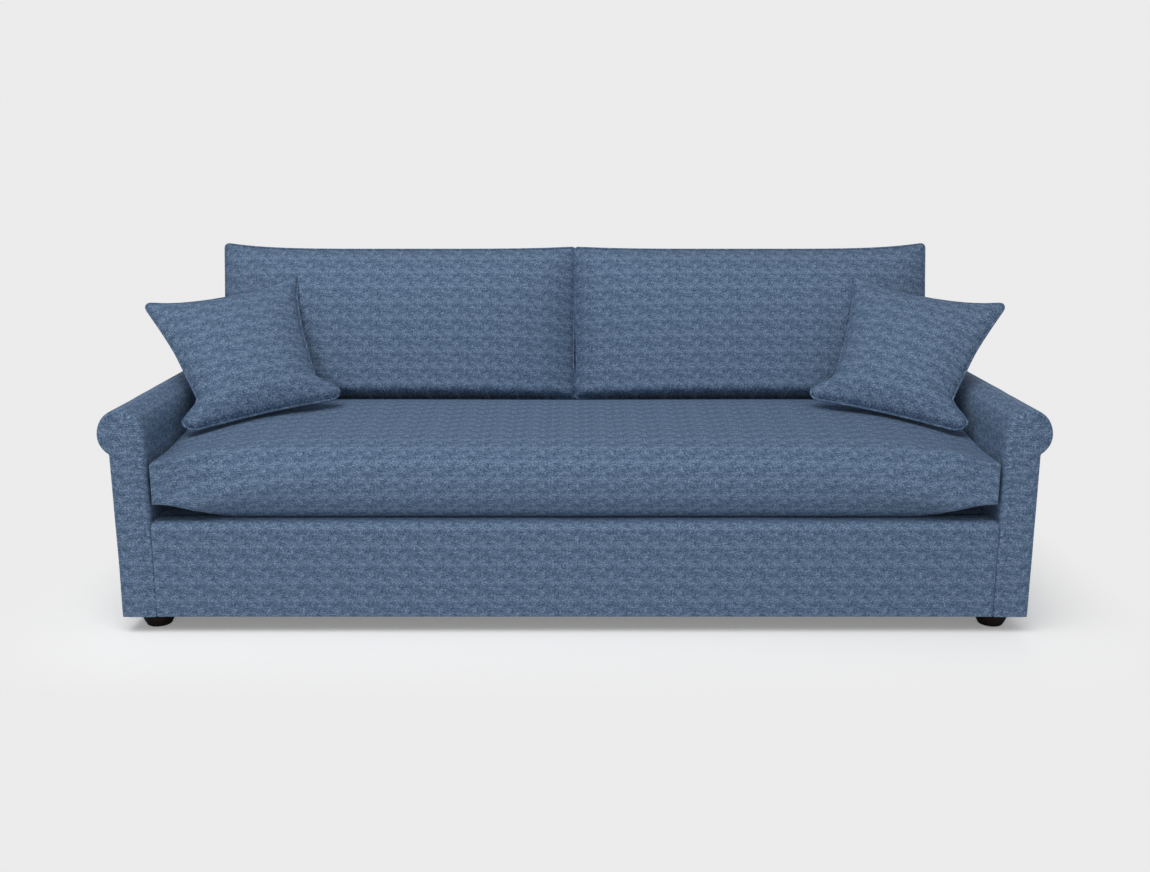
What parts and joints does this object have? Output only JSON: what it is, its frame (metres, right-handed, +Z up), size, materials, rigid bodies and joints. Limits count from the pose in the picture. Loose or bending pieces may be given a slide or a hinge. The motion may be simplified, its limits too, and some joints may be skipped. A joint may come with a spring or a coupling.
{
  "type": "four-seater sofa",
  "caption": "Long fabric sofa with rolled arms, one bench seat cushion, paired back and scatter cushions on a timber frame with bun feet.",
  "frame": {"origin": "on the floor under the middle of the sofa", "axes": "+X along the seat towards the arm on the right of someone who faces the sofa, -Y towards that person, +Z up"},
  "size_m": [2.4342, 0.966, 0.9469],
  "materials": {
    "cover_fabric": "brushed chenille weave, mid blue with pale flecks",
    "timber": "sawn softwood",
    "board": "brown hardboard",
    "foot_wood": "turned hardwood, near-black brown satin stain",
    "webbing": "black woven webbing and dust cloth",
    "felt": "grey needled felt",
    "foam": "cream open-cell foam",
    "steel": "plain drawn and pressed steel"
  },
  "bodies": {
    "frame": {"front_rail": "timber", "seat_back_rail": "timber", "seat_end_rail_left": "timber", "seat_end_rail_right": "timber", "seat_stretchers": "timber", "foot_blocks": "timber", "front_post_left": "timber", "front_post_right": "timber", "rear_post_left": "timber", "rear_post_right": "timber", "arm_core_left": "timber", "arm_core_right": "timber", "side_rail_left": "timber", "side_rail_right": "timber", "tack_rail_left": "timber", "tack_rail_right": "timber", "arm_board_left": "board", "arm_board_right": "board", "back_uprights": "timber", "back_top_rail": "timber", "back_mid_rail": "timber", "back_low_rail": "timber", "back_bottom_rail": "timber", "seat_springs": "steel", "spring_clips": "steel", "back_webbing": "webbing", "felt_layer": "felt", "seat_deck": "cover_fabric", "front_border": "cover_fabric", "arm_front_left": "cover_fabric", "arm_front_right": "cover_fabric", "inside_arm_left": "cover_fabric", "inside_arm_right": "cover_fabric", "outside_arm_left": "cover_fabric", "outside_arm_right": "cover_fabric", "inside_back": "cover_fabric", "outside_back": "cover_fabric", "back_end_left": "cover_fabric", "back_end_right": "cover_fabric", "dust_cover": "webbing", "foot_front_left": "foot_wood", "foot_front_right": "foot_wood", "foot_rear_left": "foot_wood", "foot_rear_right": "foot_wood", "foot_middle": "foot_wood", "foot_bolts": "steel", "foot_nuts": "steel", "foot_glides": "steel", "frame_screws": "steel"},
    "seat": {"seat_cushion": "cover_fabric", "seat_core": "foam"},
    "back_left": {"back_cushion_left": "cover_fabric", "back_core_left": "foam"},
    "back_right": {"back_cushion_right": "cover_fabric", "back_core_right": "foam"},
    "scatter_left_body": {"scatter_left": "cover_fabric", "scatter_core_left": "foam"},
    "scatter_right_body": {"scatter_right": "cover_fabric", "scatter_core_right": "foam"}
  },
  "joints": [
    {"name": "seat_lift", "type": "slide", "parent": "frame", "child": "seat", "axis": [0, 0, 1], "range_m": [0, 0.5]},
    {"name": "back_left_lift", "type": "slide", "parent": "seat", "child": "back_left", "axis": [0, 0, 1], "range_m": [0, 0.5]},
    {"name": "back_right_lift", "type": "slide", "parent": "seat", "child": "back_right", "axis": [0, 0, 1], "range_m": [0, 0.5]},
    {"name": "scatter_left_lift", "type": "slide", "parent": "back_left", "child": "scatter_left_body", "axis": [0, -0.5, 0.866], "range_m": [0, 0.4]},
    {"name": "scatter_right_lift", "type": "slide", "parent": "back_right", "child": "scatter_right_body", "axis": [0, -0.5, 0.866], "range_m": [0, 0.4]}
  ]
}
